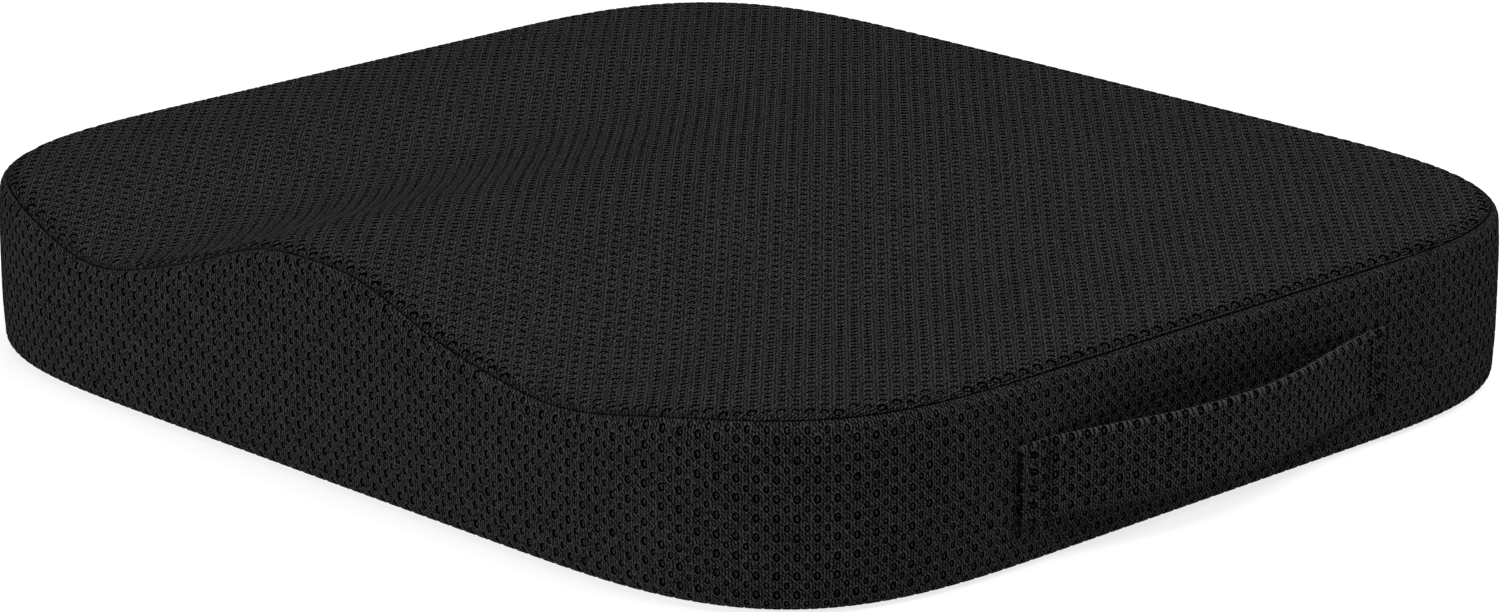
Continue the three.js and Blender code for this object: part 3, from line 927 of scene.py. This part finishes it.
def strap_surface(y, around):
    """The strap's cloth, round from the middle of its back, under, up its front and over."""
    under = np.clip((around - STRAP_FACE / 2) / FOLD_ARC, 0, 1) * math.pi
    over = np.clip((around - FRONT_END) / FOLD_ARC, 0, 1) * math.pi
    depth = FOLD_RADIUS * (np.cos(over) - np.cos(under))
    z = (STRAP_BOTTOM + STRAP_TOP) / 2 - np.minimum(around, STRAP_FACE / 2)
    z = z + np.clip(around - FRONT_START, 0, STRAP_FACE) - FOLD_RADIUS * (np.sin(under) - np.sin(over))
    z = z - np.maximum(around - FRONT_END - FOLD_ARC, 0)
    depth = depth * strap_squeeze(y)
    slope = (strap_bow(y + 0.5 * MM) - strap_bow(y - 0.5 * MM)) / MM
    lean = np.sqrt(1 + slope**2)
    return np.stack([STRAP_WALL + strap_bow(y) + depth / lean, y - depth * slope / lean, z], axis=1)


def fold_distance(around):
    folds = (STRAP_FACE / 2 + FOLD_ARC / 2, FRONT_END + FOLD_ARC / 2)
    return np.minimum(np.abs(around - folds[0]), np.abs(around - folds[1]))


def add_strap():
    def back_start(y):
        return np.zeros(len(y))

    def back_end(y):
        return np.full(len(y), STRAP_ROUND)

    def shut(y, around):
        return fold_distance(around) < FOLD_ARC / 2 - 0.2 * MM

    def edge_map(y, around):
        over = np.abs(around - FRONT_END - FOLD_ARC / 2)
        return np.stack([y, np.maximum(over - FOLD_ARC / 8, 0)], axis=1)

    ends = (STRAP_FRONT, STRAP_REAR)
    first_hole = (-1.5 * MM, FRONT_START + 2.6 * MM)
    half_lip = STRAP_THICKNESS * 0.47
    strap = sewn_strip(
        "carry_strap", ends, back_start, back_end, STRAP_PITCH, first_hole, strap_surface,
        shut=shut, edge_map=edge_map, steps=1, lip=half_lip, face=SPACER_FOLD,
    )
    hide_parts("handle_strap")
    face = STRAP_WALL + STRAP_THICKNESS * (1 - STITCH_PRESS)
    rows = (
        ("strap_front_stitch", "handle_front_stitch", STITCH_FRONT),
        ("strap_rear_stitch", "handle_rear_stitch", STITCH_REAR),
    )
    for name, node, y in rows:
        place = (face + 0.1 * MM, y, STRAP_BOTTOM + 3 * MM)
        row = thread_bar(name, STITCH_LENGTH, STITCH_RADIUS, place, 0)
        repeat(row, STITCHES, (0, 0, STITCH_STEP))
        ready(row, "cover", "thread", THREAD, node)
    rows = (
        ("strap_front_bartack", "handle_front_bartack", BARTACK_FRONT),
        ("strap_rear_bartack", "handle_rear_bartack", BARTACK_REAR),
    )
    for name, node, y in rows:
        place = (face + 0.2 * MM, y, STRAP_BOTTOM + 2.2 * MM)
        back_place = (face + 0.2 * MM, y, STRAP_BOTTOM + 2.7 * MM)
        row = thread_bar(name, STITCH_LENGTH, TACK_RADIUS, place, TACK_LEAN)
        other = thread_bar("back_throw", STITCH_LENGTH, TACK_RADIUS, back_place, -TACK_LEAN)
        join(row, other)
        repeat(row, TACKS, (0, 0, TACK_STEP))
        ready(row, "cover", "thread", THREAD, node)


# ---- Small parts -------------------------------------------------------------------------------------


def apply_place(piece):
    take(piece)
    bpy.ops.object.transform_apply(location=True, rotation=True, scale=True)
    deselect()


def soften(piece, radius, segments):
    """Rounds the piece's sharp edges."""
    finish_with(piece, "BEVEL", width=radius, segments=segments, limit_method="ANGLE", angle_limit=1.0)


def thread_bar(name, length, radius, place, lean):
    """One throw of thread with rounded ends, upright and then leaned over about X by degrees."""
    deselect()
    bpy.ops.mesh.primitive_cylinder_add(
        vertices=8, radius=radius, depth=length, location=place, rotation=(math.radians(lean), 0, 0)
    )
    piece = named(name)
    apply_place(piece)
    soften(piece, radius * 0.6, 1)
    return piece


def repeat(piece, count, offset):
    finish_with(
        piece, "ARRAY", count=count, use_relative_offset=False, use_constant_offset=True,
        constant_offset_displace=offset,
    )


def join(piece, other):
    take(piece)
    other.select_set(True)
    bpy.ops.object.join()
    deselect()


def ready(piece, body, slot, material, *nodes):
    """Dresses a finished piece, ties it to its body and hides the nodes it stands for. The slot is not used.
    """
    piece.data.materials.clear()
    piece.data.materials.append(material)
    smooth(piece, 40)
    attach(piece, body)
    if nodes:
        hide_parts(*nodes)


def rounded_copy(node, name, radius):
    """A copy of a hard part with its facets merged and its edges rounded."""
    deselect()
    piece = bpy.data.objects.new(name, bpy.data.objects[node].data.copy())
    bpy.context.collection.objects.link(piece)
    pick(piece, "VERT")
    bpy.ops.mesh.remove_doubles(threshold=0.01 * MM)
    bpy.ops.mesh.dissolve_limited(angle_limit=math.radians(2))
    leave()
    finish_with(
        piece, "BEVEL", width=radius, segments=2, limit_method="ANGLE",
        angle_limit=math.radians(35), use_clamp_overlap=True,
    )
    return piece


def rounded_block(name, low, high, radius):
    """A block between two corners with rounded edges."""
    low, high = Vector(low), Vector(high)
    deselect()
    bpy.ops.mesh.primitive_cube_add(size=1, location=(low + high) / 2, scale=high - low)
    piece = named(name)
    apply_place(piece)
    soften(piece, radius, 2)
    return piece


CORD_START = 2.7 * MM  # each tape has a raised cord between these distances from its outer edge
CORD_END = 3.9 * MM
COIL_RADIUS = 0.42 * MM
COIL_FLATTENING = 1.7
COIL_LEAN = 9
COIL_PITCH = 1.3 * MM
COIL_TURNS = 212


def add_zip():
    for half, side in (("upper", 1), ("lower", -1)):
        low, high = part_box("zip_tape_" + half)
        tape = rounded_block("zip_woven_tape_" + half, low, high, 0.25 * MM)
        edge_z = low.z if side > 0 else high.z
        cord_edges = sorted((edge_z + side * CORD_START, edge_z + side * CORD_END))
        cord_low = (low.x, high.y - 0.1 * MM, cord_edges[0])
        cord_high = (high.x, high.y + 0.35 * MM, cord_edges[1])
        join(tape, rounded_block("tape_cord", cord_low, cord_high, 0.2 * MM))
        ready(tape, "cover", "zip_tape", WOVEN_TAPE, "zip_tape_" + half)
        low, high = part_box("zip_coil_" + half)
        middle = (low + high) / 2
        first = 0.875 * MM if side > 0 else 0.55 * MM  # the two coils' turns are staggered
        deselect()
        bpy.ops.mesh.primitive_cylinder_add(
            vertices=8, radius=COIL_RADIUS, depth=high.z - low.z + 0.2 * MM,
            location=(low.x + first, middle.y, middle.z),
            rotation=(0, math.radians(COIL_LEAN * side), 0),
        )
        turn = named("zip_teeth_" + half)
        apply_place(turn)
        soften(turn, 0.2 * MM, 1)
        points = points_of(turn)
        points[:, 1] = middle.y + (points[:, 1] - middle.y) * COIL_FLATTENING
        move_points(turn, points)
        repeat(turn, COIL_TURNS, (COIL_PITCH, 0, 0))
        ready(turn, "cover", "zip_coil", COIL_PLASTIC, "zip_coil_" + half)
    for side in ("left", "right"):
        stop = rounded_copy("zip_stop_" + side, "zip_end_stop_" + side, 0.25 * MM)
        ready(stop, "cover", "zip_metal", PAINTED_METAL, "zip_stop_" + side)
        recover("zip_end_tab_" + side, TAB_CLOTH)
    slider = rounded_copy("zip_slider", "zip_runner", 0.22 * MM)
    ready(slider, "slider", "zip_metal", PAINTED_METAL, "zip_slider")
    tab = rounded_copy("zip_pull_tab", "zip_pull", 0.22 * MM)
    ready(tab, "pull_tab", "zip_metal", PAINTED_METAL, "zip_pull_tab")


def recover(node, material):
    """A better material on a CAD node that keeps its own shape."""
    slots = bpy.data.objects[node].material_slots
    for slot in slots:
        slot.material = material


# ---- Base --------------------------------------------------------------------------------------------

BASE_INSET = 6.0 * MM
BASE_STEPS = (  # from the edge inwards: how wide, and how far up or down
    (1.2 * MM, -0.25 * MM),
    (7 * MM, 0),
    (0.8 * MM, -0.15 * MM),
    (20 * MM, 0.05 * MM),
)
DOT_RADIUS = 1.6 * MM
DOT_ROUND = 0.5 * MM
DOT_HEIGHT = 0.55 * MM
DOT_PITCH = 11 * MM
DOT_MARGIN = 13 * MM


def add_base():
    deselect()
    bpy.ops.mesh.primitive_circle_add(vertices=360, radius=HALF_WIDTH * 2, fill_type="NGON")
    base = named("cover_base")
    points = points_of(base)
    points[:, 0], points[:, 1] = at_inset(points[:, 0], points[:, 1], BASE_INSET)
    points[:, 2] = FOOT_HEIGHT + 0.05 * MM
    move_points(base, points)
    pick(base, "FACE")
    bpy.ops.mesh.flip_normals()
    for thickness, depth in BASE_STEPS:
        bpy.ops.mesh.inset(thickness=thickness, depth=depth)
    leave()
    ready(base, "cover", "base_fabric", BASE_CLOTH, "bottom_panel")


def add_grip_dots():
    deselect()
    start = (-HALF_WIDTH, -HALF_DEPTH)
    bpy.ops.mesh.primitive_cylinder_add(
        vertices=8, radius=DOT_RADIUS, depth=DOT_HEIGHT, location=(start[0], start[1], DOT_HEIGHT / 2)
    )
    dots = named("grip_dots")
    apply_place(dots)
    facing_down = face_centres(dots)[:, 2] < 0.01 * MM
    pick(dots, "FACE", facing_down)
    bpy.ops.mesh.inset(thickness=DOT_ROUND)
    leave()
    points = points_of(dots)
    away = np.hypot(points[:, 0] - start[0], points[:, 1] - start[1])
    outer = (points[:, 2] < 0.1 * MM) & (away > 1.3 * MM)
    points[:, 2] = np.where(outer, DOT_ROUND / 2, points[:, 2])
    move_points(dots, points)
    delete_faces(dots, face_centres(dots)[:, 2] > DOT_HEIGHT * 0.9)
    faces_each = len(dots.data.polygons)
    repeat(dots, 2, (DOT_PITCH / 2, DOT_PITCH / 2, 0))
    repeat(dots, math.ceil(2 * HALF_WIDTH / DOT_PITCH), (DOT_PITCH, 0, 0))
    repeat(dots, math.ceil(2 * HALF_DEPTH / DOT_PITCH), (0, DOT_PITCH, 0))
    centres = face_centres(dots).reshape(-1, faces_each, 3).mean(axis=1)
    outside = inset_of(centres[:, 0], centres[:, 1]) < BASE_INSET + DOT_MARGIN
    delete_faces(dots, np.repeat(outside, faces_each))
    ready(dots, "cover", "base_fabric", GRIP_RUBBER)


# ---- Foam core ---------------------------------------------------------------------------------------

VOXEL = 6 * MM
CORE_CAP = 2.5 * MM
CORE_SHRINK = 1.5 * MM
CLOTH_PRESSURE = 4
CLOTH_FRAMES = 20
SWELL_SHARE = 0.4  # the part of the core's swelling that shows through the cover
SEAT_FADE = 22 * MM  # how far from its seams the cover takes up the swelling in full
WALL_FADE = 16 * MM


def make_core():
    """The foam core, blown up a little under pressure; returns its start and how far each point moved."""
    deselect()
    core = bpy.data.objects.new("cushion_core", bpy.data.objects["foam_core"].data.copy())
    bpy.context.collection.objects.link(core)
    pick(core, "VERT")
    bpy.ops.mesh.remove_doubles(threshold=0.01 * MM)
    leave()
    core.data.remesh_voxel_size = VOXEL
    bpy.context.view_layer.objects.active = core
    bpy.ops.object.voxel_remesh()
    pick(core, "FACE")
    bpy.ops.transform.shrink_fatten(value=-CORE_SHRINK)
    leave()
    start = points_of(core)
    moved = np.zeros_like(start)
    cloth = core.modifiers.new("pressure", "CLOTH")
    cloth.settings.use_pressure = True
    cloth.settings.uniform_pressure_force = CLOTH_PRESSURE
    cloth.settings.effector_weights.gravity = 0
    for step in range(1, CLOTH_FRAMES + 1):
        bpy.context.scene.frame_set(step)
    shaped = core.evaluated_get(bpy.context.evaluated_depsgraph_get())
    moved = points_of(shaped) - start
    core.modifiers.remove(cloth)
    bpy.context.scene.frame_set(1)
    length = np.linalg.norm(moved, axis=1)[:, None]
    moved *= CORE_CAP * np.tanh(length / CORE_CAP) / np.maximum(length, 0.001 * MM)
    move_points(core, start + moved)
    finish_with(core, "SUBSURF", levels=1, render_levels=1)
    ready(core, "cover", "foam", FOAM, "foam_core")
    return start, moved


def swell_map(start, moved, surface, along, across):
    """How far the cover follows the core's swelling, over a grid of flat lengths."""
    if not moved.any():
        return lambda u, v: np.zeros(len(u))
    tree = tree_of(start)
    grid_u, grid_v = np.meshgrid(along, across, indexing="ij")
    places = surface(grid_u.ravel(), grid_v.ravel())
    normals = facing(surface, grid_u.ravel(), grid_v.ravel())
    values = np.zeros(len(places))
    for row, place in enumerate(places):
        found = [hit[1] for hit in tree.find_n(place, 8)]
        values[row] = moved[found].mean(axis=0) @ normals[row]
    values = (values - np.median(values)).reshape(grid_u.shape)
    for _ in range(2):
        padded = np.pad(values, 1, mode="edge")
        beside_u = padded[:-2, 1:-1] + padded[2:, 1:-1]
        beside_v = padded[1:-1, :-2] + padded[1:-1, 2:]
        values = (beside_u + beside_v + 2 * values) / 6
    step_u = along[1] - along[0]
    step_v = across[1] - across[0]

    def swell(u, v):
        place_u = np.clip((u - along[0]) / step_u, 0, len(along) - 1.001)
        place_v = np.clip((v - across[0]) / step_v, 0, len(across) - 1.001)
        row, column = place_u.astype(int), place_v.astype(int)
        part_u, part_v = place_u - row, place_v - column
        near = values[row, column] * (1 - part_v) + values[row, column + 1] * part_v
        far = values[row + 1, column] * (1 - part_v) + values[row + 1, column + 1] * part_v
        return SWELL_SHARE * (near * (1 - part_u) + far * part_u)

    return swell


def make_swells():
    """The swelling of the seat and of the wall; both die away at the seams."""
    start, moved = make_core()
    seat_x = np.linspace(-HALF_WIDTH, HALF_WIDTH, 46)
    seat_y = np.linspace(-HALF_DEPTH, HALF_DEPTH, 41)
    seat = swell_map(start, moved, seat_surface, seat_x, seat_y)
    wall_along = np.linspace(-REAR_MIDDLE, REAR_MIDDLE + REAR_CUT, 170)
    wall_up = np.linspace(6 * MM, 60 * MM, 10)
    wall = swell_map(start, moved, wall_surface, wall_along, wall_up)

    def seat_swell(x, y):
        edge = np.clip((inset_of(x, y) - SEAM_INSET) / SEAT_FADE, 0, 1)
        return seat(x, y) * edge**2 * (3 - 2 * edge)

    def wall_swell(along, up):
        edge = np.clip(np.minimum(up - 4 * MM, top_of_wall(along) - up) / WALL_FADE, 0, 1)
        soft = edge**2 * (3 - 2 * edge)
        return (wall(along, up) + WALL_SWELL) * soft

    return seat_swell, wall_swell


# ---- Studio ------------------------------------------------------------------------------------------


CAMERA_AZIMUTH = 45.812
CAMERA_ELEVATION = 17.8
CAMERA_DISTANCE = 1.89789


def towards(azimuth, elevation):
    """The direction from the cushion to a place in the studio: azimuth 0 is in front, 90 is at +X."""
    azimuth, elevation = math.radians(azimuth), math.radians(elevation)
    level = math.cos(elevation)
    return Vector((math.sin(azimuth) * level, -math.cos(azimuth) * level, math.sin(elevation)))


def aim(item, direction, distance):
    """Puts a camera or a light in the scene, looking back at the cushion."""
    item.location = direction * distance
    item.rotation_euler = direction.to_track_quat("Z", "Y").to_euler()
    bpy.context.collection.objects.link(item)


def add_camera():
    data = bpy.data.cameras.new("camera")
    data.sensor_width = 36
    data.lens = 126.45
    data.shift_x = 0.0057
    data.shift_y = 0.0318
    camera = bpy.data.objects.new("camera", data)
    aim(camera, towards(CAMERA_AZIMUTH, CAMERA_ELEVATION), CAMERA_DISTANCE)
    bpy.context.scene.camera = camera


def add_softbox(name, azimuth, elevation, distance, size, power):
    """A square light aimed at the cushion."""
    data = bpy.data.lights.new(name, "AREA")
    data.size = size
    data.energy = power
    light = bpy.data.objects.new(name, data)
    aim(light, towards(azimuth, elevation), distance)


def add_studio():
    scene = bpy.context.scene
    scene.view_settings.view_transform = "Standard"
    world = bpy.data.worlds.new("studio")
    world.use_nodes = True
    world.node_tree.nodes["Background"].inputs[0].default_value = (1, 1, 1, 1)
    world.node_tree.nodes["Background"].inputs[1].default_value = 0.1
    scene.world = world
    deselect()
    bpy.ops.mesh.primitive_plane_add(size=12, location=(0, 0, -0.2 * MM))
    floor = named("floor")
    paper = Finish("pale_floor", roughness=0.9, gloss=0.1)
    grain = paper.noise(paper.place(), 400)
    paper.join(paper.colours(grain, grey(0.22), grey(0.26)), paper.shader.inputs["Base Color"])
    paper.shader.inputs["Emission Color"].default_value = (1, 1, 1, 1)
    paper.shader.inputs["Emission Strength"].default_value = 0.8
    floor.data.materials.append(paper.material)
    add_softbox("key_right", 116, 56, 2.2, 0.8, 36)
    add_softbox("top", 0, 88, 2.2, 1.2, 34)
    add_softbox("fill_front", -12, 20, 2.6, 1.2, 44)


add_camera()
add_studio()
seat_swell, wall_swell = make_swells()
add_cover(seat_swell, wall_swell)
add_strap()
add_zip()
add_base()
add_grip_dots()
for node in ("top_seam_thread", "bottom_seam_thread"):
    recover(node, THREAD)

deselect()
